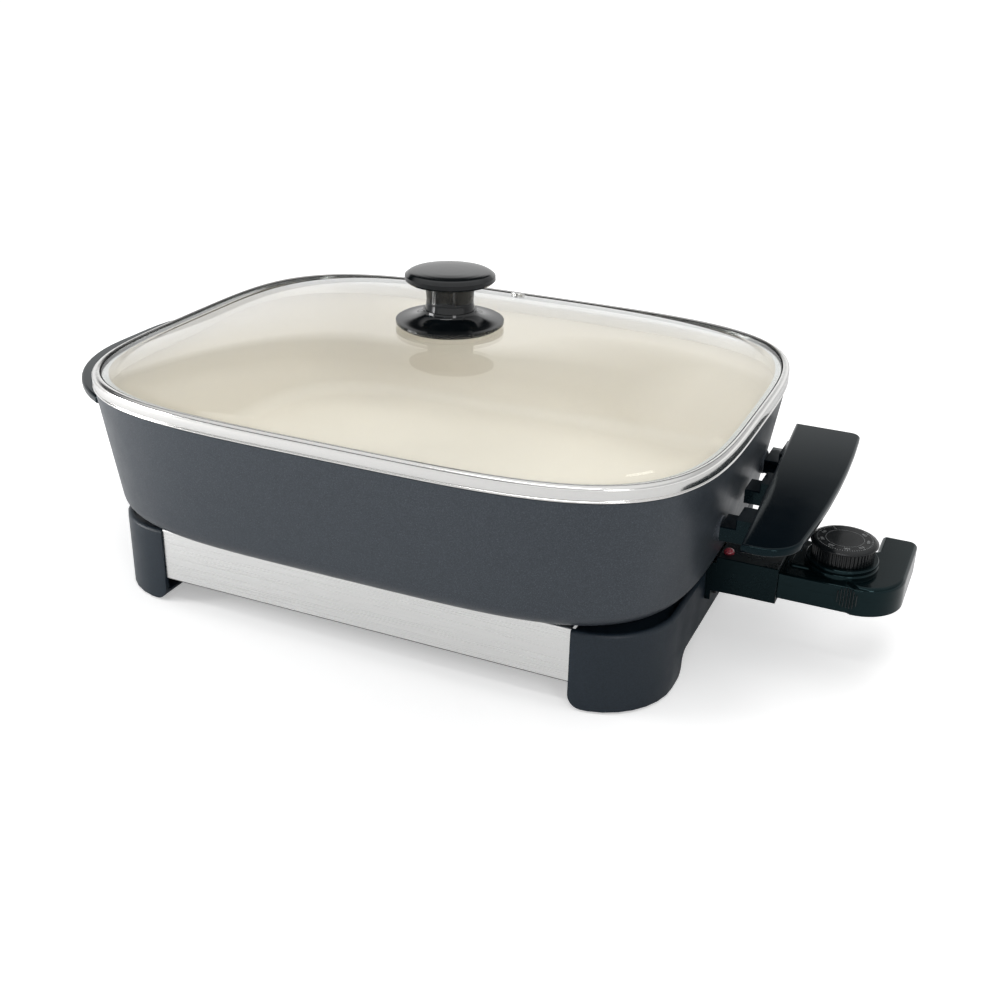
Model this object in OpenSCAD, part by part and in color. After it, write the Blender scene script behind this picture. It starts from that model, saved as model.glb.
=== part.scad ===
// Electric skillet: a deep rectangular cast pan on a low framed base, with a lift-off
// glass lid and a plug-in temperature control at the right-hand end.
// +X runs towards the control, -Y is the front, and Z = 0 is the counter.

/* [Pan] */
// Length over the lid's steel band
rim_len = 381; // [374:1:388]
// Width over the lid's steel band
rim_wid = 300; // [296:1:304]
// Height of the pan's rim above the counter
rim_z = 129; // [126:1:134]
// Thickness of the pan's side wall
pan_wall = 3.2; // [2.8:0.1:3.6]
// Thickness of the pan's floor
pan_floor = 4.5; // [4.2:0.1:5]
// Outward slope of the pan's wall, in degrees
pan_draft = 8.8; // [8:0.2:9.6]

/* [Lid] */
// Rise of the glass from its rim to its middle
glass_rise = 21.5; // [18:0.5:25]
// Thickness of the glass
glass_t = 3.9; // [3.5:0.1:4.2]
// Height of the steel band round the glass
band_h = 10.5; // [10:0.1:11]
// Radius of the knob's top disc
knob_r = 26.5; // [24:0.5:29]
// Height of the knob above its gasket
knob_h = 32; // [30:1:36]

/* [Base] */
// Length of the base over its end frames
base_len = 347; // [344:1:350]
// Width of the base over its end frames
base_wid = 242; // [239:1:245]
// Height of the top lip of the base
base_h = 48; // [47.5:0.1:48.5]
// Length of the steel panels between the end frames
panel_len = 256; // [252:1:260]
// Height of the arch under each end frame
arch_h = 15; // [13:0.5:17]

/* [Handles] */
// Reach of a handle's outer edge from the middle of the pan
handle_x = 235; // [232:1:238]
// Length of the right handle's grip plate
handle_len_right = 177; // [173:2:181]
// Length of the left handle's wing
handle_len_left = 208; // [204:2:212]
// Height of the right grip plate's top face
handle_z = 100; // [98:0.5:102]
// Height of the left wing's top face
left_handle_z = 117; // [115:0.5:119]

/* [Temperature control] */
// Width of the control's body
control_w = 48; // [47:0.5:49]
// Height of the control's body
control_h = 17; // [16.8:0.1:17.4]
// Radius of the dial
dial_r = 18.5; // [18:0.5:19.5]
// Height of the dial
dial_h = 10.2; // [9.8:0.1:11]
// Distance between the two terminal pins
pin_pitch = 28; // [27:0.5:29]

/* [Hidden] */

$fn = 48;
RING = 80;           // points round each lofted ring
EPS = 0.01;          // overshoot of a cut
GAP = 0.05;          // clearance between pieces that are assembled face to face
SEAT = 0.2;          // clearance under a piece that lifts off
RUN = 0.05;          // radial running clearance of a shaft

// Pan
rim_a = rim_len / 2;
rim_b = rim_wid / 2;
rim_n = 4;                        // squareness of the outline at the rim
pan_squarer = 0.4;                // how much squarer the outline is at the floor
pan_z = base_h + 2.5;             // underside of the pan
pan_a = rim_a - 0.8;
pan_b = rim_b - 0.8;
pan_round = 14;                   // radius between the wall and the floor
rim_t = 5;                        // thickness of the rim that carries the lid
floor_z = pan_z + pan_floor;
tangent_z = pan_z + pan_round * (1 - sin(pan_draft));

// Heating element and the sensor's tunnel
probe_z = pan_z - 2;              // common height of the pins, the sensor and the element
element_r = 3.3;
element_a = 118;
element_b = 80;
element_bend = 30;
lead_bend = 12;
lead_y = pin_pitch / 2;
socket_x = pan_a;                 // the socket and the control are placed from here
element_in = 19.7;                // how far inside the pan's end the element stops
element_end_x = socket_x - element_in;
track_w = 13;
track_z = probe_z - 5;            // underside of the cast track that holds the element
tunnel_in = 77.7;
tunnel_l = 54;
tunnel_x = [socket_x - tunnel_in, socket_x - tunnel_in + tunnel_l];
sensor_in = 69.7;
sensor_out = 10.3;
sensor_x = [socket_x - sensor_in, socket_x + sensor_out];
sensor_r = 3.1;
pin_r = 2.2;
pin_out = 16.3;
pin_x = [element_end_x, socket_x + pin_out];

// Base
base_a = base_len / 2;
base_b = base_wid / 2;
frame_t = 3;
frame_z = 1.5;                    // underside of the legs, above the rubber feet
frame_x = panel_len / 2 + 0.3;    // where an end frame meets the panels
frame_len = base_a - frame_x;
corner_start = 3.2;               // straight part of an end frame's side, before its corner
base_round = frame_len - corner_start;
shelf_z = 42;
shelf_t = 3;
arch_y = base_b - 57.5;
arch_leg_round = 6;               // lower corner of a leg, beside the arch
arch_round = arch_h - frame_z - arch_leg_round - 0.5; // shoulder of the arch, above that corner
foot_at = [frame_x + 0.48 * frame_len, base_b - 27];
foot_r = 9;
leg_floor_z = 4.5;
leg_floor_t = 3;
leg_round = 8;                    // lower corner of a leg, beside the panel
boss_at = [frame_x + 0.215 * frame_len, base_b - 35];
boss_r = 7;
shelf_in = [frame_x + 8, boss_at[1] - 10]; // corner of the opening inside the shelf
screw_r = 1.9;
screw_head_r = 3.6;
screw_head_h = 2.2;
frame_screw_grip = 5;             // how far a frame screw goes into the pan's boss
stud_r = 3;                       // stud of a rubber foot

// Panels
sheet_t = 1.2;
panel_y = base_b - 1.4;           // outer face of a panel
panel_z = [15.5, base_h + 0.5];
panel_lip = 8;
tab_reach = 12;
tab_root = 4;                     // how far inside a panel's end its tab begins
tab_end = panel_len / 2 + tab_reach;
wall_r = base_round - frame_t;    // inner radius of the end frame's corner
wall_sag = wall_r - sqrt(pow(wall_r, 2) - pow(tab_end - frame_x - corner_start, 2));
tab_gap = 0.3;                    // clearance between a tab and the frame's curved wall
tab_y = base_b - frame_t - wall_sag - tab_gap; // face of a tab that bears on the frame's pad
tab_z = [20, shelf_z - 0.5];
panel_screw_z = [26, 38];
panel_screw_grip = 1.9;
panel_screw_x = panel_len / 2 + 7;
small_r = 1.5;
small_head_r = 2.8;
small_head_h = 1.8;

// Handles
plate_t = 4.5;
plate_x = rim_a + 4.7;            // nominal inner edge of the right grip plate
plate_in = [8.6, -2.4];           // how far outside it the edge lies, at the front and the back
plate_round = [20, 6];            // radii of its outer corners, front and back
plate_bow = 4.2;
plate_bow_y = 12;                 // where the outer edge reaches furthest
wing_mid = 15;                    // half of the straight part of the wing's outer edge
wing_turn = 63;                   // turn of each of its curved ends, in degrees
wing_gap = 1.2;                   // clearance between the wing and the pan's wall
boss_reach = 1.6;                 // how far a handle boss stands off the pan's wall
boss_skin = 0.9;                  // wall left behind the root of a handle boss
arm_x = plate_x + 8.8;
arms_right = [[-55, -37], [-3, 14], [43, 66]]; // where each arm begins and ends, along Y
arms_left = [[-64, -34], [-17, 17], [34, 64]];
arm_drop = 17.5;
arm_step_x = plate_x - 2.2;
arm_step = 4.5;
handle_screw_y = 49;
screw_drop = 12.5;                // from a grip plate's top face down to its screws
screw_z_right = handle_z - screw_drop;
screw_z_left = left_handle_z - screw_drop;
handle_head_x = plate_x + 0.8;

// Probe guard
guard_wall = 2.1;
guard_y = control_w / 2 + 2.5;
guard_in = 11.1;
guard_out = 23.5;
guard_x = [socket_x - guard_in, socket_x + guard_out];
guard_floor = probe_z - 12;
guard_top = probe_z + 9.5;
flange_t = 3;
flange_x = base_a + 0.3;
flange_z = guard_floor - 6;
cheek_top = pan_z + 2;            // top of the cheeks that close the guard to the end frame
guard_screw = [18, flange_z + 3.1];
guard_boss_r = 3.6;
guard_boss_l = 5;
notch_y = guard_y + 0.3;          // the notch in the right end frame lets the guard through
notch_z = guard_floor - GAP;
lens_in = 6.5;
lens_at = [socket_x - lens_in, -18];
lens_r = 3;

// Control
nose_x = socket_x + 0.3;
control_len = 88;
control_x = [nose_x, nose_x + control_len];
control_z = probe_z - 9;
control_top = control_z + control_h;
neck_top = control_top - 1.5;     // top of the part that enters the guard
half_w = control_w / 2;
control_t = 2;
deck_reach = 58;
deck_x = nose_x + deck_reach;     // where the narrow deck widens into the grip
deck_y = 13;
grip_round = 24;
grip_bulge = 1.2;                 // how far the grip stands out at the front
grip_x = control_x[1] - grip_round;
arm_reach = 68;
arm_left = nose_x + arm_reach;
arm_len = 23;
arm_back = half_w + arm_len;
arm_round = 5;
gland_reach = 77.5;
gland_x = nose_x + gland_reach;
gland_r = 4.6;
gland_bore_r = 3.3;
gland_flange_r = 5.6;
gland_flange_t = 1.9;
dial_reach = 52.5;
dial_x = nose_x + dial_reach;
collar_h = 5;
collar_r = dial_r + 1.6;
dial_gap = 0.3;
dial_z = control_top + collar_h + dial_gap;
shaft_r = 3;
post_reach = [37, 76];
post_y = [half_w - 4.5, half_w + 7];
control_screw_at = [[nose_x + post_reach[0], post_y[0]], [nose_x + post_reach[0], -post_y[0]],
                    [nose_x + post_reach[1], post_y[1]]];
control_boss_r = 3.4;
control_screw_r = 1.3;
control_head_r = 2.7;
control_head_h = 1.8;
control_screw_grip = 3.3;
contact_reach = [2.3, 18];
contact_x = [nose_x + contact_reach[0], nose_x + contact_reach[1]];
contact_r = 3.3;
thermostat_reach = 43;
thermostat_x = [sensor_x[1] + GAP, nose_x + thermostat_reach];
thermostat_half = 8;
blade_half = 3.5;
blade_t = 0.8;
rivet_reach = 22;
rivet_x = nose_x + rivet_reach;
rivet_r = 2;

// Lid
band_z = rim_z + SEAT;
glass_z = band_z + 4;             // underside of the glass at its edge
glass_flat = 9;                   // flat margin of the glass, inside the band
glass_hole_r = 4;
crown = 0.2;                      // part of the dome that is flat, under the knob
glass_top = glass_z + glass_rise + glass_t;
gasket_t = 1;
gasket_z = glass_top + GAP;
knob_z = gasket_z + gasket_t;
knob_base_r = 31.8;
knob_stem_r = 14.6;
knob_base_h = 9;
knob_disc_t = 6.5;
knob_screw_r = 2.4;
vent_y = 101;
vent_r = 2.8;

// ---- Lofted rings ----

function spow(v, e) = sign(v) * pow(abs(v), e);
function ring(s) = [for (i = [0:RING - 1]) let (t = 360 * i / RING)
    [s[0] * spow(cos(t), 2 / s[2]), s[1] * spow(sin(t), 2 / s[2]), s[3]]];

// A solid through rings [half length, half width, squareness, height]. The first and the
// last ring are capped, unless the rings close on themselves.
module loft(rings, closed = false) {
  count = len(rings);
  points = [for (r = rings) each ring(r)];
  last = closed ? count - 1 : count - 2;
  sides = [for (j = [0:last], i = [0:RING - 1])
      let (k = (j + 1) % count, i2 = (i + 1) % RING)
      each [[j * RING + i, k * RING + i, k * RING + i2],
            [j * RING + i, k * RING + i2, j * RING + i2]]];
  caps = closed ? [] : [[for (i = [0:RING - 1]) i],
                        [for (i = [RING - 1:-1:0]) (count - 1) * RING + i]];
  polyhedron(points, concat(caps, sides), convexity = 6);
}

function rim_ring(inset, z) = [rim_a - inset, rim_b - inset, rim_n, z];
function pan_ring(inset, z) = [pan_a - inset, pan_b - inset,
    rim_n + pan_squarer * (rim_z - z) / (rim_z - pan_z), z];
function wall_in(z) = (rim_z - z) * tan(pan_draft);

// Face and root of the pan's handle bosses, at the height of their screws
function mount_at(z) = pan_a - wall_in(z) + boss_reach;
function boss_root(z) = pan_a - wall_in(z) - pan_wall + boss_skin;

// ---- Plan outlines ----

function arc(c, r, from, to, steps = 8) =
    [for (i = [0:steps]) let (t = from + (to - from) * i / steps) [c[0] + r * cos(t), c[1] + r * sin(t)]];

function round_rect(hx, hy, r) = concat(
    arc([hx - r, hy - r], r, 0, 90), arc([r - hx, hy - r], r, 90, 180),
    arc([r - hx, r - hy], r, 180, 270), arc([hx - r, r - hy], r, 270, 360));

// Centre line of the element: in along one lead, round the loop and out along the other
element_half = concat([[element_end_x, lead_y]],
    arc([element_a + lead_bend, lead_y + lead_bend], lead_bend, 270, 180, 6),
    arc([element_a - element_bend, element_b - element_bend], element_bend, 0, 90),
    arc([element_bend - element_a, element_b - element_bend], element_bend, 90, 180));
element_path = concat(element_half,
    [for (i = [len(element_half) - 1:-1:0]) [element_half[i][0], -element_half[i][1]]]);

function unit(v) = v / norm(v);
function path_dir(p, i) = unit(p[min(i + 1, len(p) - 1)] - p[max(i - 1, 0)]);
function path_side(p, i) = let (d = path_dir(p, i)) [-d[1], d[0]];
function band_outline(p, w) = concat([for (i = [0:len(p) - 1]) p[i] + path_side(p, i) * w / 2],
    [for (i = [len(p) - 1:-1:0]) p[i] - path_side(p, i) * w / 2]);

// A round bar along a level path
module bar(p, r, z, sides = 12) {
  count = len(p);
  points = [for (i = [0:count - 1]) let (n = path_side(p, i)) for (k = [0:sides - 1])
      let (t = 360 * k / sides) [p[i][0] + n[0] * r * cos(t), p[i][1] + n[1] * r * cos(t), z + r * sin(t)]];
  skin = [for (i = [0:count - 2], k = [0:sides - 1]) let (k2 = (k + 1) % sides)
      each [[i * sides + k, (i + 1) * sides + k, (i + 1) * sides + k2],
            [i * sides + k, (i + 1) * sides + k2, i * sides + k2]]];
  ends = [[for (k = [0:sides - 1]) k], [for (k = [sides - 1:-1:0]) (count - 1) * sides + k]];
  polyhedron(points, concat(ends, skin), convexity = 6);
}

module along_x(x, r) {
  translate([x[0], 0, 0]) rotate([0, 90, 0]) cylinder(h = x[1] - x[0], r = r);
}

module along_y(y, r) {
  translate([0, y[1], 0]) rotate([90, 0, 0]) cylinder(h = y[1] - y[0], r = r);
}

module block(low, high) {
  translate(low) cube(high - low);
}

module each_corner(at) {
  for (sx = [-1, 1], sy = [-1, 1]) translate([sx * at[0], sy * at[1], 0]) children();
}

module left_and_right() {
  children();
  mirror([1, 0, 0]) children();
}

module at_handle_screws(z) {
  for (s = [-1, 1]) translate([0, s * handle_screw_y, z]) children();
}

// ---- Pan and heating ----

module pan_vessel() {
  outer_round = [for (i = [5:-1:0]) let (p = pan_draft + (90 - pan_draft) * i / 5)
      pan_ring(wall_in(tangent_z) + pan_round * (cos(pan_draft) - cos(p)),
               tangent_z - pan_round * (sin(p) - sin(pan_draft)))];
  inner_r = pan_round - pan_wall;
  inner_z = floor_z + inner_r * (1 - sin(pan_draft));
  inner_round = [for (i = [0:5]) let (p = pan_draft + (90 - pan_draft) * i / 5)
      pan_ring(pan_wall + wall_in(inner_z) + inner_r * (cos(pan_draft) - cos(p)),
               inner_z - inner_r * (sin(p) - sin(pan_draft)))];
  loft(concat(outer_round,
      [pan_ring(0, rim_z), pan_ring(rim_t, rim_z), pan_ring(rim_t, rim_z - 4),
       pan_ring(pan_wall + wall_in(rim_z - 9), rim_z - 9)], inner_round));
}

module handle_bosses(z) {
  at_handle_screws(z) along_x([boss_root(z), mount_at(z)], boss_r);
}

module handle_boss_holes(z) {
  at_handle_screws(z) along_x([boss_root(z) + 0.6, mount_at(z) + 1], screw_r + GAP);
}

module pan() {
  color("#4c5256") difference() {
    union() {
      pan_vessel();
      translate([0, 0, track_z]) linear_extrude(pan_z + 1 - track_z)
        polygon(band_outline(element_path, track_w));
      block([tunnel_x[0], -track_w / 2 + 0.5, track_z], [tunnel_x[1], track_w / 2 - 0.5, pan_z + 1]);
      each_corner(boss_at) translate([0, 0, shelf_z + shelf_t + GAP])
        cylinder(h = pan_z + 1 - shelf_z - shelf_t - GAP, r = boss_r);
      handle_bosses(screw_z_right);
      mirror([1, 0, 0]) handle_bosses(screw_z_left);
    }
    translate([0, 0, track_z - 1]) linear_extrude(probe_z + element_r + GAP - track_z + 1)
      polygon(band_outline(element_path, 2 * (element_r + GAP)));
    at_terminals() along_x([element_end_x - 1, socket_x], element_r + GAP);
    translate([0, 0, probe_z]) along_x([tunnel_x[0] + 4, socket_x], sensor_r + 0.4);
    each_corner(boss_at) translate([0, 0, shelf_z]) cylinder(h = pan_z - shelf_z + 1, r = screw_r + GAP);
    handle_boss_holes(screw_z_right);
    mirror([1, 0, 0]) handle_boss_holes(screw_z_left);
  }
}

module heating_element() {
  color("#8c8f91") bar(element_path, element_r, probe_z);
}

module at_terminals() {
  for (s = [-1, 1]) translate([0, s * lead_y, probe_z]) children();
}

module terminal_pins() {
  color("#b9bdc0") at_terminals() along_x([pin_x[0] + GAP, pin_x[1]], pin_r);
}

module terminal_insulators() {
  color("#e8e4da") at_terminals() difference() {
    along_x([pin_x[0] + GAP, pin_x[0] + 3], element_r);
    along_x([pin_x[0] - 1, pin_x[0] + 4], pin_r + GAP);
  }
}

// ---- Base ----

module arch_cut() {
  // A wide low arch, open at the counter, with rounded shoulders and rounded legs beside it
  leg = [arch_y + arch_leg_round, frame_z + arch_leg_round];
  outline = concat([[-leg[0], -1]], arc([-leg[0], leg[1]], arch_leg_round, 270, 360),
      arc([-arch_y + arch_round, arch_h - arch_round], arch_round, 180, 90),
      arc([arch_y - arch_round, arch_h - arch_round], arch_round, 90, 0),
      arc(leg, arch_leg_round, 180, 270), [[leg[0], -1]]);
  translate([base_a - base_round, 0, 0]) rotate([90, 0, 90]) linear_extrude(base_round + 1) polygon(outline);
}

// Rounds the lower corners of both legs, beside the panels
module leg_corner_cut() {
  translate([frame_x, 0, frame_z]) rotate([90, 0, 0])
    linear_extrude(base_wid + 2, center = true) difference() {
      translate([-1, -1]) square(leg_round + 1);
      translate([leg_round, leg_round]) circle(leg_round);
    }
}

module end_frame(socket = false) {
  difference() {
    union() {
      translate([0, 0, frame_z]) linear_extrude(base_h - frame_z) difference() {
        polygon(round_rect(base_a, base_b, base_round));
        polygon(round_rect(base_a - frame_t, base_b - frame_t, base_round - frame_t));
      }
      translate([0, 0, shelf_z]) linear_extrude(shelf_t) difference() {
        polygon(round_rect(base_a - 1, base_b - 1, base_round - 1));
        polygon(round_rect(shelf_in[0], shelf_in[1], 6));
      }
      translate([0, 0, leg_floor_z]) linear_extrude(leg_floor_t) difference() {
        polygon(round_rect(base_a - 1, base_b - 1, base_round - 1));
        square([2 * base_a, 2 * arch_y], center = true);
      }
      for (s = [0, 1]) mirror([0, s, 0])
        block([frame_x, tab_y + GAP, tab_z[0]], [tab_end + 1, base_b - frame_t + 1, tab_z[1]]);
      if (socket) for (s = [-1, 1]) translate([0, s * guard_screw[0], guard_screw[1]])
        along_x([base_a - frame_t - guard_boss_l, base_a - 1], guard_boss_r);
    }
    block([-base_a - 1, -base_b - 1, -1], [frame_x, base_b + 1, base_h + 1]);
    arch_cut();
    leg_corner_cut();
    each_corner(boss_at) translate([0, 0, shelf_z - 1]) cylinder(h = shelf_t + 2, r = screw_r + 0.3);
    each_corner(foot_at) translate([0, 0, leg_floor_z - 1]) cylinder(h = leg_floor_t + 2, r = stud_r);
    for (side = [[tab_y - 1, tab_y + panel_screw_grip + 0.3], [-tab_y - panel_screw_grip - 0.3, 1 - tab_y]])
      for (z = panel_screw_z) translate([panel_screw_x, 0, z]) along_y(side, small_r + GAP);
    if (socket) {
      block([frame_x, -notch_y, notch_z], [base_a + 1, notch_y, base_h + 1]);
      for (s = [-1, 1]) translate([0, s * guard_screw[0], guard_screw[1]])
        along_x([base_a - frame_t - guard_boss_l + 1, base_a + 1], small_r + GAP);
    }
  }
}

module end_frame_right() {
  color("#3a3d41") end_frame(socket = true);
}

module end_frame_left() {
  color("#3a3d41") mirror([1, 0, 0]) end_frame();
}

module frame_screws() {
  color("#a9acae") each_corner(boss_at) {
    translate([0, 0, shelf_z - GAP - screw_head_h]) cylinder(h = screw_head_h, r = screw_head_r);
    translate([0, 0, shelf_z - screw_head_h]) cylinder(h = screw_head_h + shelf_t + frame_screw_grip, r = screw_r);
  }
}

// A steel panel: a folded sheet with lips behind its top and bottom edges, and a tab at
// each end that is screwed behind the end frame's wall
module panel() {
  half = panel_len / 2;
  block([-half, -panel_y, panel_z[0]], [half, sheet_t - panel_y, panel_z[1]]);
  for (z = [panel_z[0], panel_z[1] - sheet_t])
    block([-half, -panel_y, z], [half, panel_lip - panel_y, z + sheet_t]);
  difference() {
    left_and_right() {
      block([half - tab_root, -tab_y, tab_z[0]], [half + tab_reach, sheet_t - tab_y, tab_z[1]]);
      block([half - tab_root, -panel_y, tab_z[0]], [half - tab_root + sheet_t, sheet_t - tab_y, tab_z[1]]);
    }
    for (s = [-1, 1], z = panel_screw_z) translate([s * panel_screw_x, 0, z])
      along_y([-tab_y - 1, sheet_t - tab_y + 1], small_r + 0.2);
  }
}

module front_panel() {
  color("#c9c8c5") panel();
}

module rear_panel() {
  color("#c9c8c5") mirror([0, 1, 0]) panel();
}

module panel_screws() {
  seat = tab_y - sheet_t - GAP;
  color("#a9acae") for (sx = [-1, 1], z = panel_screw_z) translate([sx * panel_screw_x, 0, z]) {
    along_y([seat, tab_y + panel_screw_grip], small_r);
    along_y([seat - small_head_h, seat], small_head_r);
    along_y([-tab_y - panel_screw_grip, -seat], small_r);
    along_y([-seat, small_head_h - seat], small_head_r);
  }
}

module rubber_feet() {
  color("#1c1c1c") each_corner(foot_at) {
    cylinder(h = leg_floor_z - GAP, r = foot_r);
    cylinder(h = leg_floor_z + leg_floor_t + 1, r = stud_r - GAP);
  }
}

// ---- Handles ----

function plate_edge(y) = handle_x - plate_bow * pow(2 * (y - plate_bow_y) / handle_len_right, 2);

module plate_outline() {
  half = handle_len_right / 2;
  front = [plate_edge(plate_round[0] - half) - plate_round[0], plate_round[0] - half];
  back = [plate_edge(half - plate_round[1]) - plate_round[1], half - plate_round[1]];
  polygon(concat([[plate_x + plate_in[1], half], [plate_x + plate_in[0], -half]],
      arc(front, plate_round[0], 270, 360),
      [for (k = [1:5]) let (y = front[1] + (back[1] - front[1]) * k / 6) [plate_edge(y), y]],
      arc(back, plate_round[1], 0, 90)));
}

// The left handle is a wing whose inner edge follows the pan's wall
module wing_outline() {
  half = handle_len_left / 2;
  wing_r = (half - wing_mid) / sin(wing_turn);
  difference() {
    polygon(concat([[handle_x - wing_r, half], [handle_x - wing_r, -half]],
        arc([handle_x - wing_r, -wing_mid], wing_r, -wing_turn, 0, 12),
        arc([handle_x - wing_r, wing_mid], wing_r, 0, wing_turn, 12)));
    polygon([for (p = ring(pan_ring(wall_in(left_handle_z) - wing_gap, left_handle_z))) [p[0], p[1]]]);
  }
}

// A grip plate of a given outline on three arms, screwed to the pan's bosses
module handle(top_z, arms) {
  screw_z = top_z - screw_drop;
  mount_x = mount_at(screw_z);
  difference() {
    union() {
      translate([0, 0, top_z - plate_t]) linear_extrude(plate_t) children();
      for (a = arms) {
        block([mount_x + 0.1, a[0], top_z - arm_drop], [arm_x, a[1], top_z - plate_t - arm_step]);
        block([arm_step_x, a[0], top_z - arm_drop], [arm_x, a[1], top_z - plate_t + 1]);
      }
    }
    at_handle_screws(screw_z) {
      along_x([mount_x - 1, arm_x + 1], screw_r + 0.2);
      along_x([handle_head_x, arm_x + 1], screw_head_r + 0.3);
    }
  }
}

module handle_right() {
  color("#1b1f21") handle(handle_z, arms_right) plate_outline();
}

module handle_left() {
  color("#1b1f21") mirror([1, 0, 0]) handle(left_handle_z, arms_left) wing_outline();
}

module screw_pair(z) {
  at_handle_screws(z) {
    along_x([boss_root(z) + 1.1, handle_head_x + 1], screw_r);
    along_x([handle_head_x + GAP, handle_head_x + GAP + screw_head_h], screw_head_r);
  }
}

module handle_screws() {
  color("#a9acae") {
    screw_pair(screw_z_right);
    mirror([1, 0, 0]) screw_pair(screw_z_left);
  }
}

// ---- Probe guard ----

module probe_guard() {
  color("#15191a") difference() {
    union() {
      block([guard_x[0], -guard_y, guard_floor], [guard_x[1], guard_y, guard_top]);
      block([flange_x, -guard_y, flange_z], [flange_x + flange_t, guard_y, guard_floor + guard_wall]);
      block([flange_x, -guard_y, guard_floor], [guard_x[0] + 1, guard_y, guard_floor + guard_wall]);
      for (s = [0, 1]) mirror([0, s, 0])
        block([flange_x, guard_y - guard_wall, guard_floor], [guard_x[0] + 1, guard_y, cheek_top]);
    }
    block([guard_x[0] - 1, guard_wall - guard_y, guard_floor + guard_wall],
          [guard_x[1] + 1, guard_y - guard_wall, guard_top - guard_wall]);
    for (s = [-1, 1]) translate([0, s * guard_screw[0], guard_screw[1]])
      along_x([flange_x - 1, flange_x + flange_t + 1], small_r + 0.2);
    translate([lens_at[0], lens_at[1], guard_top - guard_wall - 1]) cylinder(h = 5, r = lens_r + GAP);
  }
}

module guard_screws() {
  head_x = flange_x + flange_t + GAP;
  color("#a9acae") for (s = [-1, 1]) translate([0, s * guard_screw[0], guard_screw[1]]) {
    along_x([base_a - frame_t - guard_boss_l + 1.5, head_x + 1], small_r);
    along_x([head_x, head_x + small_head_h], small_head_r);
  }
}

module indicator_lens() {
  color("#8e1f2b") translate([lens_at[0], lens_at[1], 0]) {
    under = guard_top - guard_wall - GAP;
    translate([0, 0, under - 1]) cylinder(h = 1, r = lens_r + 0.9);
    translate([0, 0, under - 1]) cylinder(h = guard_wall + 1.6, r = lens_r);
    translate([0, 0, guard_top + 0.5]) rotate_extrude()
      polygon(concat([[0, 0]], [for (t = [0:15:90]) [lens_r * cos(t), 2 * sin(t)]]));
  }
}

module indicator_lamp() {
  color("#e8a07a") translate([lens_at[0], 0, probe_z + 4.2])
    along_y([lens_at[1] - 4, lens_at[1] + 4], 1.5);
}

// ---- Lid ----

function dome(s) = glass_rise * (1 - pow(max(0, (s - crown) / (1 - crown)), 2.2));
function glass_ring(s, lift) = [(rim_a - glass_flat) * s, (rim_b - glass_flat) * s,
    2 + (rim_n - 2) * pow(s, 0.6), glass_z + lift + dome(s)];

module at_vent() {
  s = vent_y / (rim_b - glass_flat);
  slope = atan((dome(s - 0.02) - dome(s + 0.02)) / (0.04 * (rim_b - glass_flat)));
  translate([0, vent_y, glass_z + dome(s)]) rotate([-slope, 0, 0]) children();
}

module lid_glass() {
  steps = [1, 0.97, 0.92, 0.85, 0.76, 0.65, 0.5, 0.34, crown];
  hole = [glass_hole_r, glass_hole_r, 2];
  edge = 1.5;
  under = [for (i = [len(steps) - 1:-1:0]) glass_ring(steps[i], 0)];
  over = [for (s = steps) glass_ring(s, glass_t)];
  color([0.82, 0.9, 0.9, 0.4]) difference() {
    loft(concat([concat(hole, [glass_z + glass_rise])], under,
        [rim_ring(edge, glass_z), rim_ring(edge, glass_z + glass_t)], over,
        [concat(hole, [glass_top])]), closed = true);
    at_vent() translate([0, 0, -5]) cylinder(h = 15, r = vent_r + 0.3);
  }
}

// The folded steel band: a skirt outside, a groove that holds the glass, and a lip that
// drops inside the pan's rim to centre the lid
module lid_band() {
  groove = 1.2;
  lip = 7.5;
  drop = rim_t + 2;
  section = [[0.6, 0], [0, 1], [0, band_h - 2.3], [1, band_h - 0.7], [3.2, band_h], [6, band_h - 0.8],
      [lip, 4.6 + glass_t], [lip, 4.1 + glass_t], [groove, 4.1 + glass_t], [groove, 3.9], [drop + 1.2, 3.9],
      [drop + 1.2, -4], [drop, -4], [drop, 0]];
  color("#d9d9d7") loft([for (p = section) rim_ring(p[0], band_z + p[1])], closed = true);
}

module vent_grommet() {
  color("#c3c6c7") at_vent() difference() {
    union() {
      translate([0, 0, -1.3]) cylinder(h = 1.1, r = vent_r + 1.7);
      translate([0, 0, glass_t + 0.2]) cylinder(h = 1.1, r = vent_r + 1.7);
      translate([0, 0, -1]) cylinder(h = glass_t + 2, r = vent_r);
    }
    translate([0, 0, -2]) cylinder(h = glass_t + 5, r = 1.4);
  }
}

module knob_gasket() {
  color("#2a2a2a") translate([0, 0, gasket_z]) difference() {
    cylinder(h = gasket_t - GAP, r = knob_base_r - 2);
    translate([0, 0, -1]) cylinder(h = gasket_t + 2, r = knob_screw_r + 0.3);
  }
}

module knob_base() {
  saucer = [for (i = [0:6]) let (t = 90 * i / 6)
      [knob_stem_r + 1 + (knob_base_r - knob_stem_r - 1) * (1 - sin(t)), 2.4 + (knob_base_h - 2.4) * (1 - cos(t))]];
  color("#0f1011") translate([0, 0, knob_z]) difference() {
    rotate_extrude($fn = 72) polygon(concat([[0, 0], [knob_base_r - 0.8, 0], [knob_base_r, 0.9]], saucer,
        [[0, knob_base_h]]));
    translate([0, 0, -1]) cylinder(h = knob_base_h + 2, r = knob_screw_r + 0.2);
  }
}

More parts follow.
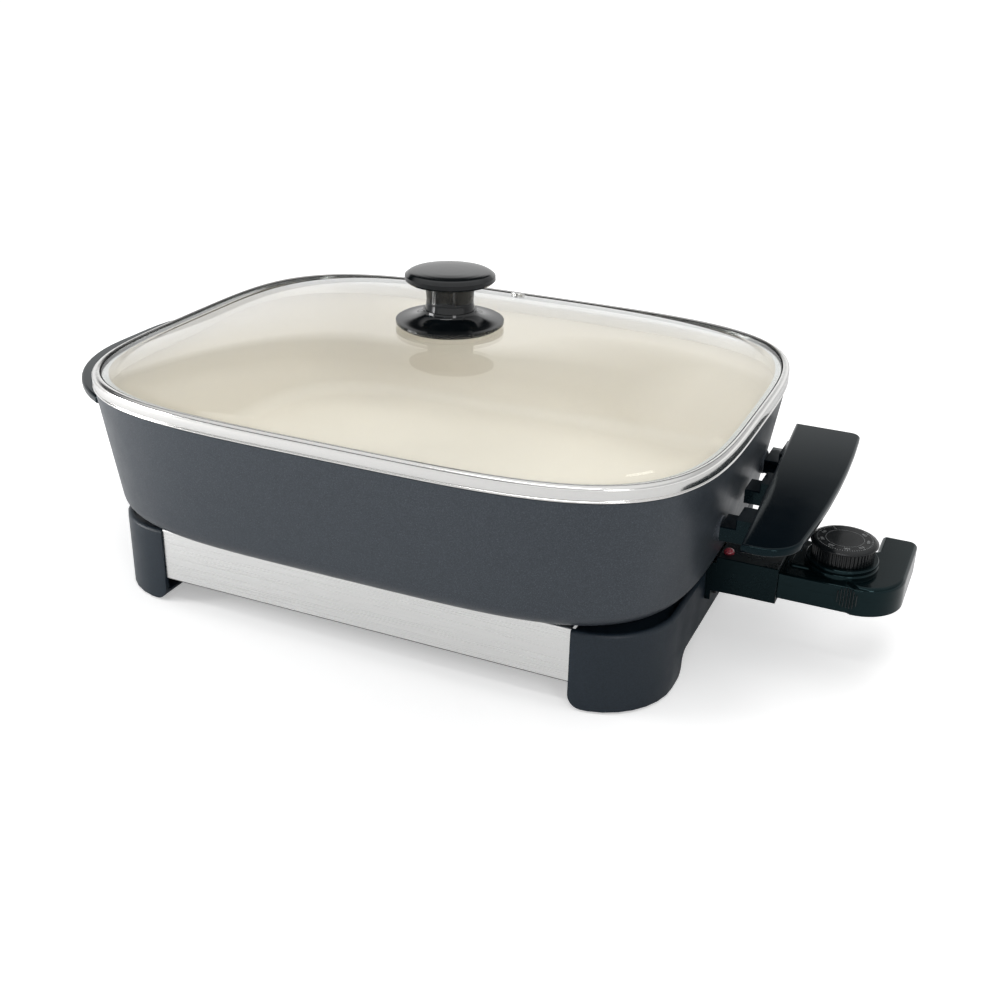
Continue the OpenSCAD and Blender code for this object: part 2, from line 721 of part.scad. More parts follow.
module knob_cap() {
  low = knob_base_h + GAP;
  under = knob_h - knob_disc_t;
  crown_pts = [for (i = [0:6]) let (t = 90 * i / 6)
      [(knob_r - 2) * cos(t), knob_h - 1.6 + 1.6 * sin(t)]];
  color("#0f1011") translate([0, 0, knob_z]) difference() {
    rotate_extrude($fn = 72) polygon(concat([[0, low], [knob_stem_r, low], [knob_stem_r - 0.8, low + 5],
        [knob_stem_r, under - 1.5], [knob_stem_r + 2, under], [knob_r - 1.2, under], [knob_r, under + 1.2],
        [knob_r - 0.2, knob_h - 3]], crown_pts));
    translate([0, 0, low - 1]) cylinder(h = 15, r = knob_screw_r + RUN);
  }
}

module knob_washer() {
  color("#d8d2c4") translate([0, 0, glass_z + glass_rise - GAP - 1.5]) difference() {
    cylinder(h = 1.5, r = 9);
    translate([0, 0, -1]) cylinder(h = 4, r = knob_screw_r + 0.3);
  }
}

module knob_screw() {
  head_z = glass_z + glass_rise - 1.5 - 2 * GAP;
  color("#b9bdc0") {
    translate([0, 0, head_z - 2.6]) cylinder(h = 2.6, r = 5.5);
    translate([0, 0, head_z - 1]) cylinder(h = knob_z + knob_base_h + 12 - head_z, r = knob_screw_r);
  }
}

// ---- Temperature control ----

// Plan of the control, all edges moved in by d: a straight nose, a rounded grip, and an
// arm at the back that carries the cord's inlet
function control_plan(d) = concat(
    [[control_x[0] + d, half_w - d], [control_x[0] + d, d - half_w], [grip_x - 2 * grip_bulge, d - half_w]],
    arc([grip_x, grip_round - half_w - grip_bulge], grip_round - d, 270, 360, 12),
    arc([control_x[1] - arm_round, arm_back - arm_round], arm_round - d, 0, 90),
    [[arm_left + d, arm_back - d], [arm_left + d, half_w - d]]);

module deck_plan() {
  intersection() {
    polygon(control_plan(1.2));
    union() {
      translate([guard_x[1] + 3, -deck_y]) square([control_x[1] - guard_x[1], 2 * deck_y]);
      translate([deck_x, -half_w]) square([control_x[1] - deck_x, arm_back + half_w]);
    }
  }
}

// The holes in the control's nose and round its screws, shared by both shells
module control_bores() {
  at_terminals() along_x([control_x[0] - 1, control_x[0] + control_t + 1], pin_r + 0.5);
  translate([0, 0, probe_z]) along_x([control_x[0] - 1, control_x[0] + control_t + 1], sensor_r + GAP);
  translate([gland_x, 0, probe_z]) along_y([arm_back - control_t - 1, arm_back + 1], gland_r + GAP);
}

module control_posts(z, h, r) {
  for (p = control_screw_at) translate([p[0], p[1], z]) cylinder(h = h, r = r);
}

module control_lower_shell() {
  color("#141718") difference() {
    union() {
      translate([0, 0, control_z]) linear_extrude(probe_z - GAP - control_z) difference() {
        polygon(control_plan(0));
        polygon(control_plan(control_t));
      }
      translate([0, 0, control_z]) linear_extrude(control_t) polygon(control_plan(0.5));
      control_posts(control_z + 1, probe_z - GAP - control_z - 1, control_boss_r);
    }
    control_bores();
    control_posts(control_z - 1, control_h, control_screw_r + 0.3);
    control_posts(control_z - 1, control_head_h + 1.2, control_head_r + 0.2);
  }
}

// The collar under the dial stands on the body: two rings with a groove between them
module dial_collar() {
  sunk = 1;
  h = control_top + collar_h - neck_top + sunk;
  groove = 0.9;
  low_ring = h - 2.9;
  ring_r = collar_r - 0.3;
  translate([dial_x, 0, neck_top - sunk]) rotate_extrude($fn = 72)
    polygon([[0, 0], [collar_r, 0], [collar_r, low_ring - 0.4], [collar_r - 0.3, low_ring],
             [collar_r - groove, low_ring + 0.1], [collar_r - groove, low_ring + 0.6],
             [ring_r, low_ring + 0.7], [ring_r, h - 0.5], [ring_r - 0.5, h], [0, h]]);
}

module control_upper_shell() {
  roof = neck_top - control_t;
  color("#141718") difference() {
    union() {
      difference() {
        union() {
          translate([0, 0, probe_z]) linear_extrude(neck_top - probe_z) polygon(control_plan(0));
          translate([0, 0, neck_top - 1]) linear_extrude(control_top - neck_top + 1) deck_plan();
          dial_collar();
        }
        translate([0, 0, probe_z - 1]) linear_extrude(roof - probe_z + 1) polygon(control_plan(control_t));
        block([arm_left + control_t + 1, half_w - 4, roof - 1],
              [control_x[1] - 2 * control_t, arm_back - control_t, control_top - control_t]);
      }
      control_posts(probe_z, control_top - 1 - probe_z, control_boss_r);
      translate([dial_x, 0, roof - 2]) cylinder(h = 3, r = shaft_r + 2.5);
    }
    control_bores();
    control_posts(probe_z - 1, control_screw_grip + 1.2, control_screw_r + GAP);
    translate([dial_x, 0, roof - 3]) cylinder(h = control_h, r = shaft_r + RUN);
  }
}

module control_screws() {
  color("#a9acae") {
    control_posts(control_z + 0.1, control_head_h, control_head_r);
    control_posts(control_z + 0.5, probe_z + control_screw_grip - 0.5 - control_z, control_screw_r);
  }
}

// Spring sleeves that grip the terminal pins
module control_contacts() {
  color("#b08d4a") at_terminals() difference() {
    union() {
      along_x(contact_x, contact_r);
      block([contact_x[1] - 2, -1, -2.5], [contact_x[1] + 7, 1, 2.5]);
    }
    along_x([contact_x[0] - 1, pin_x[1] + 0.5], pin_r + RUN);
  }
}

module sensor_probe() {
  color("#c3c6c7") translate([0, 0, probe_z]) {
    along_x([sensor_x[0] + 2, sensor_x[1]], sensor_r);
    along_x([sensor_x[0], sensor_x[0] + 3], sensor_r - 0.8);
  }
}

module thermostat_base() {
  color("#e8e4da") difference() {
    block([thermostat_x[0], -thermostat_half, control_z + control_t + GAP],
          [thermostat_x[1], thermostat_half, probe_z - 1]);
    translate([rivet_x, 0, probe_z - 4]) cylinder(h = 5, r = rivet_r + GAP);
  }
}

// The blade that the dial's shaft bears on, riveted to the thermostat's base
module bimetal_blade() {
  color("#b08d4a") {
    block([rivet_x - 4, -blade_half, probe_z - 0.1 - blade_t], [dial_x + 4, blade_half, probe_z - 0.1]);
    translate([rivet_x, 0, probe_z - 3.5]) cylinder(h = 4.6, r = rivet_r);
  }
}

module cord_gland() {
  color("#1c1c1c") translate([gland_x, 0, probe_z]) difference() {
    union() {
      along_y([arm_back - control_t - GAP - gland_flange_t, arm_back + 1.2], gland_r);
      along_y([arm_back - control_t - GAP - gland_flange_t, arm_back - control_t - GAP], gland_flange_r);
    }
    along_y([arm_back - 8, arm_back + 3], gland_bore_r);
  }
}

// The dial's skirt is a ring of small flutes under a wider smooth cap
module dial() {
  flutes = 48;
  flute_depth = 0.7;
  cap_h = 2.2;
  skirt_h = dial_h - cap_h;
  skirt_r = dial_r - 1.4;
  skirt = [for (i = [0:2 * flutes - 1]) let (t = 180 * (i + 0.5) / flutes, r = skirt_r - flute_depth * (i % 2))
      each [[r * cos(t - 1.3), r * sin(t - 1.3)], [r * cos(t + 1.3), r * sin(t + 1.3)]]];
  color("#16191a") translate([dial_x, 0, dial_z]) difference() {
    union() {
      linear_extrude(skirt_h + EPS) polygon(skirt);
      translate([0, 0, skirt_h]) rotate_extrude($fn = 96) polygon([[0, 0], [dial_r - 0.4, 0], [dial_r, 0.4],
          [dial_r, 0.9], [dial_r - 0.5, 1.5], [dial_r - 1.3, 1.9], [dial_r - 2.4, cap_h], [0, cap_h]]);
    }
    translate([0, 0, -1]) cylinder(h = dial_h - 1, r = shaft_r + GAP);
  }
}

module dial_shaft() {
  color("#b9bdc0") translate([dial_x, 0, probe_z + GAP])
    cylinder(h = dial_z + dial_h - 2.5 - probe_z - GAP, r = shaft_r);
}

pan();
heating_element();
terminal_pins();
terminal_insulators();
end_frame_left();
end_frame_right();
frame_screws();
front_panel();
rear_panel();
panel_screws();
rubber_feet();
handle_left();
handle_right();
handle_screws();
probe_guard();
guard_screws();
indicator_lens();
indicator_lamp();
lid_glass();
lid_band();
vent_grommet();
knob_gasket();
knob_base();
knob_cap();
knob_washer();
knob_screw();
control_lower_shell();
control_upper_shell();
control_screws();
control_contacts();
sensor_probe();
thermostat_base();
bimetal_blade();
cord_gland();
dial();
dial_shaft();
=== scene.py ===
from math import cos, pi, radians, sin, sqrt, tan

import bmesh
import bpy
from mathutils import Matrix, Vector


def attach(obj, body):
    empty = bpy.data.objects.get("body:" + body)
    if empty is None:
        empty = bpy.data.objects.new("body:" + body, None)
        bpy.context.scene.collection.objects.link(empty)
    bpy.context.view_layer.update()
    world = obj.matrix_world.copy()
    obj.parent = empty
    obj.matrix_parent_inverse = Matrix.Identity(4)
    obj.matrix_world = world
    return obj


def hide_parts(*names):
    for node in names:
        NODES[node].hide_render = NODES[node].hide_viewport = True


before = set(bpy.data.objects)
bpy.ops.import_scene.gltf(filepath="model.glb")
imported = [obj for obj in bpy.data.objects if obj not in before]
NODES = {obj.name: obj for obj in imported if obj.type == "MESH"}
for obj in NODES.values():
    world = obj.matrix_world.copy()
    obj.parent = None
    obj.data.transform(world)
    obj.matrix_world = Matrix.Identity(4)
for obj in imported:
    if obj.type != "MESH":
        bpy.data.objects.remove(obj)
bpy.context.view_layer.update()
MM = 0.001  # the shapes below are written in millimetres

# ---------------------------------------------------------------- camera
CAMERA_AT = (0.3221, -0.6631, 0.3911)
az, el, roll = radians(23.42), radians(25.17), radians(1.38)
fwd = Vector((-sin(az) * cos(el), cos(az) * cos(el), -sin(el)))
right = fwd.cross(Vector((0, 0, 1))).normalized()
up = right.cross(fwd)
cam_x = cos(roll) * right + sin(roll) * up
cam_y = -sin(roll) * right + cos(roll) * up
turned = Matrix((cam_x, cam_y, -fwd)).transposed().to_4x4()
camera = bpy.data.objects.new("camera", bpy.data.cameras.new("camera"))
bpy.context.collection.objects.link(camera)
camera.matrix_world = Matrix.Translation(CAMERA_AT) @ turned
camera.data.lens = 46.75
camera.data.sensor_width = 36
camera.data.clip_start = 0.01
bpy.context.scene.camera = camera
bpy.context.scene.view_settings.view_transform = "Standard"


# ---------------------------------------------------------------- materials
class Mat:
    """A node material with short helpers. Texture scales are per metre."""

    def __init__(self, name, color, rough, metallic=0.0, **sockets):
        self.m = bpy.data.materials.new(name)
        self.m.use_nodes = True
        self.nt = self.m.node_tree
        self.bsdf = self.nt.nodes["Principled BSDF"]
        self.out = self.nt.nodes["Material Output"]
        sockets.update(Base_Color=(*color, 1), Roughness=rough, Metallic=metallic)
        for key, value in sockets.items():
            self.bsdf.inputs[key.replace("_", " ")].default_value = value

    def node(self, kind, **props):
        """Adds a node; props name its settings, or its sockets with _ for a space."""
        n = self.nt.nodes.new("ShaderNode" + kind)
        for key, value in props.items():
            if hasattr(n, key):
                setattr(n, key, value)
            else:
                n.inputs[key.replace("_", " ")].default_value = value
        return n

    def link(self, a, b):
        self.nt.links.new(a, b)

    def coords(self, scale=(1, 1, 1)):
        tc = self.node("TexCoord")
        mp = self.node("Mapping")
        mp.inputs["Scale"].default_value = scale
        self.link(tc.outputs["Object"], mp.inputs["Vector"])
        return mp.outputs["Vector"]

    def color_from(self, output):
        self.link(output, self.bsdf.inputs["Base Color"])

    def rough_from(self, output):
        self.link(output, self.bsdf.inputs["Roughness"])

    def noise(self, scale, detail, stretch=(1, 1, 1)):
        n = self.node("TexNoise", Scale=scale, Detail=detail, Roughness=0.6)
        self.link(self.coords(stretch), n.inputs["Vector"])
        return n.outputs["Fac"]

    def cells(self, scale):
        n = self.node("TexVoronoi", Scale=scale)
        self.link(self.coords(), n.inputs["Vector"])
        return n.outputs["Color"]

    def ramp(self, fac, *stops):
        n = self.node("ValToRGB")
        e = n.color_ramp.elements
        while len(e) < len(stops):
            e.new(0.5)
        for stop, (pos, col) in zip(e, stops):
            stop.position = pos
            stop.color = (*col, 1)
        self.link(fac, n.inputs["Fac"])
        return n.outputs["Color"]

    def value(self, fac, lo, hi, a=0.35, b=0.65):
        """Maps the range from a to b onto the range from lo to hi."""
        n = self.node("MapRange", From_Min=a, From_Max=b, To_Min=lo, To_Max=hi)
        self.link(fac, n.inputs["Value"])
        return n.outputs["Result"]

    def bump(self, height, strength, distance=0.0002):
        b = self.node("Bump", Strength=strength, Distance=distance)
        self.link(height, b.inputs["Height"])
        self.link(b.outputs["Normal"], self.bsdf.inputs["Normal"])


def seen_rays(tree):
    """1 for rays that show the stage itself, straight or through the glass, and 0 for others."""
    path = tree.nodes.new("ShaderNodeLightPath")
    either = tree.nodes.new("ShaderNodeMath")
    either.operation = "MAXIMUM"
    tree.links.new(path.outputs["Is Camera Ray"], either.inputs[0])
    tree.links.new(path.outputs["Is Transmission Ray"], either.inputs[1])
    return either.outputs[0]


def plastic(name, color, rough, grain, bump, vary=0.25, spec=0.5, spread=0.06, **sockets):
    """Moulded plastic: faint colour and roughness variation, and a fine grain."""
    p = Mat(name, color, rough, Specular_IOR_Level=spec, **sockets)
    dark = tuple(c * (1 - vary) for c in color)
    lite = tuple(c * (1 + vary) for c in color)
    p.color_from(p.ramp(p.noise(grain, 2), (0.3, dark), (0.7, lite)))
    p.rough_from(p.value(p.noise(35, 4), rough - spread, rough + spread))
    p.bump(p.noise(grain, 3), bump)
    return p


def metal(name, color, rough, scale, stretch=(1, 1, 1), bump=0.05, spread=0.06, vary=0.06):
    """Bare metal, with its grain drawn out along one axis by stretch."""
    p = Mat(name, color, rough, metallic=1.0)
    dark = tuple(c * (1 - vary) for c in color)
    p.color_from(p.ramp(p.noise(scale, 4, stretch), (0.3, dark), (0.7, color)))
    p.rough_from(p.value(p.noise(scale, 5, stretch), rough - spread, rough + spread))
    p.bump(p.noise(scale * 1.3, 4, stretch), bump, 0.0001)
    return p


# Charcoal metallic paint with a fine flake
pan_out = Mat("pan_paint", (0.050, 0.060, 0.074), 0.42, 0.45, Coat_Weight=0.2, Coat_Roughness=0.3)
pan_out.color_from(pan_out.ramp(pan_out.cells(3200), (0.2, (0.034, 0.042, 0.053)),
                                (0.7, (0.048, 0.059, 0.073)), (1.0, (0.088, 0.103, 0.122))))
pan_out.rough_from(pan_out.value(pan_out.noise(60, 4), 0.38, 0.47))
pan_out.bump(pan_out.noise(1800, 2), 0.04)
# Cream ceramic coating
pan_in = Mat("pan_ceramic", (0.73, 0.675, 0.585), 0.5, Coat_Weight=0.04, Coat_Roughness=0.3)
pan_in.color_from(pan_in.ramp(pan_in.noise(500, 4), (0.3, (0.715, 0.660, 0.572)),
                              (0.7, (0.745, 0.690, 0.598))))
pan_in.rough_from(pan_in.value(pan_in.noise(40, 3), 0.45, 0.55))
pan_in.bump(pan_in.noise(700, 3), 0.03)

# Plastics: colour, roughness, grain and its depth. The glossy black ones have a cool sheen.
SHEEN = (0.5, 0.85, 0.92, 1)
frame_m = plastic("frame_plastic", (0.0105, 0.018, 0.027), 0.40, 1300, 0.06, spec=0.33)
handle_m = plastic("handle_plastic", (0.0015, 0.004, 0.0065), 0.075, 1500, 0.004, spec=0.2,
                   spread=0.015, Specular_Tint=SHEEN)
# The grille's ribs are the control's black plastic painted lighter: a painted highlight
grille_painted_light_m = plastic("grille_plastic", (0.010, 0.015, 0.017), 0.25, 900, 0.02, spec=0.40)
guard_m = plastic("guard_plastic", (0.0018, 0.0045, 0.006), 0.30, 1300, 0.03, spec=0.2,
                  Specular_Tint=SHEEN)
knob_m = plastic("knob_plastic", (0.003, 0.0045, 0.0055), 0.08, 300, 0.01, spec=0.45, spread=0.03)
control_m = plastic("control_plastic", (0.0018, 0.005, 0.006), 0.11, 400, 0.004, spec=0.27,
                    spread=0.03, Specular_Tint=SHEEN)
dial_m = plastic("dial_plastic", (0.006, 0.0075, 0.0085), 0.20, 1100, 0.01, spec=0.38)
rubber_m = plastic("foot_rubber", (0.012, 0.012, 0.012), 0.75, 700, 0.2, spec=0.3)
print_m = plastic("dial_print", (0.30, 0.31, 0.315), 0.55, 900, 0.05, vary=0.1)
silicone_m = plastic("washer_silicone", (0.62, 0.58, 0.50), 0.6, 600, 0.1, vary=0.05)
ceramic_m = plastic("terminal_ceramic", (0.72, 0.69, 0.62), 0.6, 800, 0.15, vary=0.05)

# Metals: colour, roughness and grain
black_screw_m = metal("screw_black", (0.045, 0.045, 0.048), 0.4, 900)
band_m = metal("band_steel", (0.82, 0.815, 0.80), 0.17, 300, (1, 1, 6), 0.01, 0.05, 0.04)
screw_m = metal("screw_zinc", (0.55, 0.55, 0.54), 0.32, 900)
pin_m = metal("pin_nickel", (0.62, 0.62, 0.61), 0.25, 700)
probe_m = metal("probe_steel", (0.62, 0.62, 0.61), 0.3, 500, (0.1, 1, 1))
element_m = metal("element_sheath", (0.22, 0.22, 0.22), 0.5, 600)
brass_m = metal("contact_brass", (0.70, 0.50, 0.22), 0.3, 700)

# Brushed sheet. Its folded lower edge, where it faces down, is darkened in colour: painted shade
panel_m = metal("panel_brushed", (0.88, 0.88, 0.87), 0.30, 260, (0.03, 1, 5), 0.03, 0.06, 0.04)
brushed = panel_m.bsdf.inputs["Base Color"].links[0].from_socket
fold = panel_m.node("SeparateXYZ")
panel_m.link(panel_m.node("TexCoord").outputs["Normal"], fold.inputs[0])
# Painted shade: the brushed colour is multiplied darker where the surface faces down
painted_fold_shade = panel_m.node("Mix", data_type="RGBA", blend_type="MULTIPLY")
painted_fold_shade.inputs["Factor"].default_value = 1
MIX_A, MIX_B, MIX_RESULT = 6, 7, 2  # the colour sockets of a Mix node
panel_m.link(brushed, painted_fold_shade.inputs[MIX_A])
panel_m.link(panel_m.value(fold.outputs["Z"], 0.12, 1.0, -0.30, -0.06), painted_fold_shade.inputs[MIX_B])
panel_m.color_from(painted_fold_shade.outputs[MIX_RESULT])

# Red lens, and the lamp under it
lens_m = Mat("lens_red", (0.46, 0.05, 0.08), 0.12, Transmission_Weight=0.25, IOR=1.49,
             Coat_Weight=0.5)
lens_m.color_from(lens_m.ramp(lens_m.noise(500, 2), (0.3, (0.40, 0.04, 0.065)),
                              (0.7, (0.55, 0.08, 0.11))))
lens_m.bump(lens_m.noise(900, 2), 0.05)
lamp_m = Mat("lamp_glass", (0.8, 0.45, 0.3), 0.1, Transmission_Weight=0.7)
lamp_m.bump(lamp_m.noise(900, 2), 0.03)

# Tempered glass. Light passes it unbent, so that the food side isn't dark.
glass_m = Mat("lid_glass_clear", (0.975, 0.99, 0.985), 0.0, Transmission_Weight=1.0, IOR=1.46)
glass_m.rough_from(glass_m.value(glass_m.noise(30, 3), 0.0, 0.02))
clear = glass_m.node("BsdfTransparent", Color=(0.96, 0.975, 0.97, 1))
path = glass_m.node("LightPath")
mix = glass_m.node("MixShader")
glass_m.link(path.outputs["Is Shadow Ray"], mix.inputs[0])
glass_m.link(glass_m.bsdf.outputs[0], mix.inputs[1])
glass_m.link(clear.outputs[0], mix.inputs[2])
glass_m.link(mix.outputs[0], glass_m.out.inputs["Surface"])


# ---------------------------------------------------------------- edge treatment of kept nodes
def normal_group():
    """Welds a mesh, drops stored normals and marks edges over an angle as sharp."""
    g = bpy.data.node_groups.new("soft_edges", "GeometryNodeTree")
    g.interface.new_socket("Geometry", in_out="INPUT", socket_type="NodeSocketGeometry")
    g.interface.new_socket("Angle", in_out="INPUT", socket_type="NodeSocketFloat")
    g.interface.new_socket("Geometry", in_out="OUTPUT", socket_type="NodeSocketGeometry")
    gi, go = g.nodes.new("NodeGroupInput"), g.nodes.new("NodeGroupOutput")
    weld = g.nodes.new("GeometryNodeMergeByDistance")
    weld.inputs["Distance"].default_value = 2e-6
    angle = g.nodes.new("GeometryNodeInputMeshEdgeAngle")
    over = g.nodes.new("FunctionNodeCompare")
    over.operation = "GREATER_THAN"
    sharp = g.nodes.new("GeometryNodeSetMeshNormal")
    sharp.mode = "SHARPNESS"
    sharp.inputs["Remove Custom"].default_value = True
    link = g.links.new
    link(gi.outputs[0], weld.inputs["Geometry"])
    link(weld.outputs[0], sharp.inputs["Mesh"])
    link(angle.outputs[0], over.inputs[0])
    link(gi.outputs[1], over.inputs[1])
    link(over.outputs[0], sharp.inputs["Edge Sharpness"])
    link(sharp.outputs[0], go.inputs[0])
    return g


SOFT = normal_group()
SOFT_ANGLE = next(s.identifier for s in SOFT.interface.items_tree if s.name == "Angle")


def soften(o, bevel, sharp):
    """Rounds the edges of a kept node. Edges over the sharp angle, in degrees, stay sharp."""
    def normals():
        m = o.modifiers.new("normals", "NODES")
        m.node_group = SOFT
        m[SOFT_ANGLE] = radians(sharp)

    normals()
    if bevel:
        edge = o.modifiers.new("edge", "BEVEL")
        edge.width, edge.segments, edge.use_clamp_overlap = bevel * MM, 3, True
        edge.limit_method, edge.angle_limit = "ANGLE", radians(32)
        normals()
        o.modifiers.new("flats", "WEIGHTED_NORMAL").keep_sharp = True


def keep(mat, bevel, *names, sharp=40):
    """Keeps nodes as they are, in one material, with their edges rounded by a bevel."""
    for name in names:
        o = NODES[name]
        o.data.materials.clear()
        o.data.materials.append(mat.m)
        for p in o.data.polygons:
            p.material_index = 0
        soften(o, bevel, sharp)


# ---------------------------------------------------------------- mesh helpers, in mm
# A part is its points, its faces as indices of points, and a material slot for each face.
FINE_SHARP = 33  # edges over this angle, in degrees, stay sharp on pieces with rounded edges


def shade(o, sharp, weighted):
    """Smooth shading up to the sharp angle; weighted keeps flat faces beside roundings flat."""
    for p in o.data.polygons:
        p.use_smooth = True
    o.data.set_sharp_from_angle(angle=radians(sharp))
    if weighted:
        o.modifiers.new("flats", "WEIGHTED_NORMAL").keep_sharp = True


def finish_mesh(bm, name, mats, sharp=40, weighted=False):
    me = bpy.data.meshes.new(name)
    bm.to_mesh(me)
    bm.free()
    for m in mats:
        me.materials.append(m.m)
    o = bpy.data.objects.new(name, me)
    bpy.context.collection.objects.link(o)
    shade(o, sharp, weighted)
    return o


def mesh_object(name, part, mats, sharp=40):
    verts, faces, which = part
    bm = bmesh.new()
    made = [bm.verts.new([c * MM for c in v]) for v in verts]
    for face, k in zip(faces, which):
        bm.faces.new([made[i] for i in face]).material_index = k
    bmesh.ops.recalc_face_normals(bm, faces=bm.faces)
    return finish_mesh(bm, name, mats, sharp)


def dress(o, body, slot, *nodes):
    """Puts a piece on its body and hides the nodes it stands in for. The slot is not used."""
    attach(o, body)
    if nodes:
        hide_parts(*nodes)


def loft(rings, closed=False):
    """A skin through rings of matching points, capped unless the rings close on themselves."""
    count, per = len(rings), len(rings[0])
    faces = []
    for j in range(count if closed else count - 1):
        k = (j + 1) % count
        for i in range(per):
            i2 = (i + 1) % per
            faces.append((j * per + i, j * per + i2, k * per + i2, k * per + i))
    if not closed:
        faces += [tuple(range(per)), tuple((count - 1) * per + i for i in range(per))]
    return [p for r in rings for p in r], faces, [0] * len(faces)


def join(*parts):
    verts, faces, which = [], [], []
    for v, f, m in parts:
        faces += [tuple(i + len(verts) for i in q) for q in f]
        verts += v
        which += m
    return verts, faces, which


def circle(count):
    """The angles of count points, spread evenly round a circle."""
    return [2 * pi * i / count for i in range(count)]


def lathe(profile, place, closed=False, count=40):
    """Turns (radius, height) points; place puts a point (x, y, height) where it belongs."""
    turn = [(cos(t), sin(t)) for t in circle(count)]
    return loft([[place(r * c, r * s, h) for c, s in turn] for r, h in profile], closed)


def sweep(path, section):
    """A section of (sideways, height) points drawn along a level path."""
    rings = []
    for i, p in enumerate(path):
        a, b = path[max(i - 1, 0)], path[min(i + 1, len(path) - 1)]
        d = Vector((b[0] - a[0], b[1] - a[1])).normalized()
        rings.append([(p[0] - d.y * s, p[1] + d.x * s, z) for s, z in section])
    return loft(rings)


def arc(c, r, start, end, steps=8):
    """Points on an arc round c, between two angles in degrees, with both ends."""
    angles = [radians(start + (end - start) * i / steps) for i in range(steps + 1)]
    return [(c[0] + r * cos(t), c[1] + r * sin(t)) for t in angles]


def inset(points, depth):
    """Moves a closed anticlockwise outline inwards, by a depth for each of its points."""
    moved = []
    for i, p in enumerate(points):
        a, b = Vector(points[i - 1]), Vector(points[(i + 1) % len(points)])
        p = Vector(p)
        u, v = (p - a).normalized(), (b - p).normalized()
        n1, n2 = Vector((-u.y, u.x)), Vector((-v.y, v.x))
        moved.append(tuple(p + (n1 + n2) * depth[i] / (1 + n1.dot(n2))))
    return moved


def edges_to_round(bm, choose):
    """The outward edges that choose picks by their middle and the normals of their faces."""
    chosen = []
    for e in bm.edges:
        if len(e.link_faces) == 2 and e.is_convex:
            n0, n1 = (f.normal for f in e.link_faces)
            middle = (e.verts[0].co + e.verts[1].co) / (2 * MM)
            if n0.angle(n1, 0) > radians(25) and choose(middle, n0, n1):
                chosen.append(e)
    return chosen


def refine(node, name, mat, body, slot, passes):
    """A finer piece for a node, from its own mesh. Each pass is a choice of edges, the width
    of their rounding and its number of segments."""
    bm = bmesh.new()
    bm.from_mesh(NODES[node].data)
    bmesh.ops.remove_doubles(bm, verts=bm.verts, dist=3e-6)
    bmesh.ops.dissolve_limit(bm, angle_limit=radians(0.4), verts=bm.verts, edges=bm.edges)
    for choose, width, segments in passes:
        bm.normal_update()
        chosen = edges_to_round(bm, choose)
        if chosen:
            bmesh.ops.bevel(bm, geom=chosen, offset=width * MM, offset_type="OFFSET",
                            segments=segments, profile=0.5, affect="EDGES", clamp_overlap=True)
    for f in bm.faces:
        f.material_index = 0
    dress(finish_mesh(bm, name, [mat], FINE_SHARP, True), body, slot, node)


RING = 288  # points of an oval


def oval(a, b, n, z):
    """A superellipse, with its points spread by direction."""
    pts = []
    for i in range(RING):
        t = 2 * pi * (i + 0.5) / RING
        c, s = cos(t), sin(t)
        r = (abs(c / a) ** n + abs(s / b) ** n) ** (-1.0 / n)
        pts.append((r * c, r * s, z))
    return pts


# ---------------------------------------------------------------- shared sizes, in mm
# _A and _B are half a length and half a width, _N is the exponent of the outline
RIM_A, RIM_B, RIM_N, RIM_Z = 190.5, 150.0, 4.0, 129.0
PAN_A, PAN_B, PAN_Z, FLOOR_Z = 189.7, 149.2, 50.5, 55.0
DRAFT = radians(8.8)
PIN_Z = 48.5  # height of the pins and the sensor rod


def wall_in(z):
    """How far the draft brings the pan's wall in at a height."""
    return (RIM_Z - z) * tan(DRAFT)


def pan_ring(depth, z):
    return oval(PAN_A - depth, PAN_B - depth, RIM_N + 0.4 * (RIM_Z - z) / (RIM_Z - PAN_Z), z)


def rim_ring(depth, z):
    return oval(RIM_A - depth, RIM_B - depth, RIM_N, z)


# ---------------------------------------------------------------- pan
WALL, CORNER = 3.2, 14.0  # the wall, and the outer radius between wall and underside
SCREW_BORE, BOSS_FACE, BOSS_R = 1.95, 6.5, 7  # radii
HANDLE_SCREW_Y, HANDLE_SCREW_RIGHT_Z, HANDLE_SCREW_LEFT_Z = 49, 87.5, 104.5
FRAME_SCREW_X, FRAME_SCREW_Y = 138.018, 86
UNDER_Z = 43.5  # lower edge of the track and the tunnel


def corner_rings(radius, depth, floor_z):
    """The rounding from a wall, which lies depth inside the outside, down to a floor."""
    steps = 14
    top = floor_z + radius * (1 - sin(DRAFT))
    rings = []
    for i in range(steps + 1):
        p = DRAFT + (pi / 2 - DRAFT) * i / steps
        rings.append(pan_ring(depth + wall_in(top) + radius * (cos(DRAFT) - cos(p)),
                              top - radius * (sin(p) - sin(DRAFT))))
    return rings


def pan_vessel():
    """One closed skin: underside, outside, rim and inside. The inside starts on the rim."""
    rings = [pan_ring(60, PAN_Z), pan_ring(30, PAN_Z)]
    rings += reversed(corner_rings(CORNER, 0, PAN_Z))
    rings += [pan_ring(wall_in(z), z) for z in (75, 90, 105, 118, 125, 127.8)]
    rings += [pan_ring(0.1, 128.6), pan_ring(0.5, 128.95), pan_ring(1.0, RIM_Z)]
    outside = len(rings)
    rings += [pan_ring(d, z) for d, z in ((4.2, RIM_Z), (4.8, 128.8), (5.0, 128.2), (5.0, 125.6))]
    rings += [pan_ring(WALL + wall_in(z), z) for z in (120, 105, 90, 75)]
    rings += corner_rings(CORNER - WALL, WALL, FLOOR_Z)
    rings += [pan_ring(40, FLOOR_Z), pan_ring(75, FLOOR_Z)]
    verts, faces, _ = loft(rings)
    return verts, faces, [int(min(face) // RING >= outside - 1) for face in faces]


def element_path():
    """The middle line of the element's track, from one terminal to the other."""
    half = [(170, 14)] + arc((130, 26), 12, 270, 180)
    half += arc((88, 50), 30, 0, 90, 12) + arc((-88, 50), 30, 90, 180, 12)
    return half + [(x, -y) for x, y in reversed(half)]


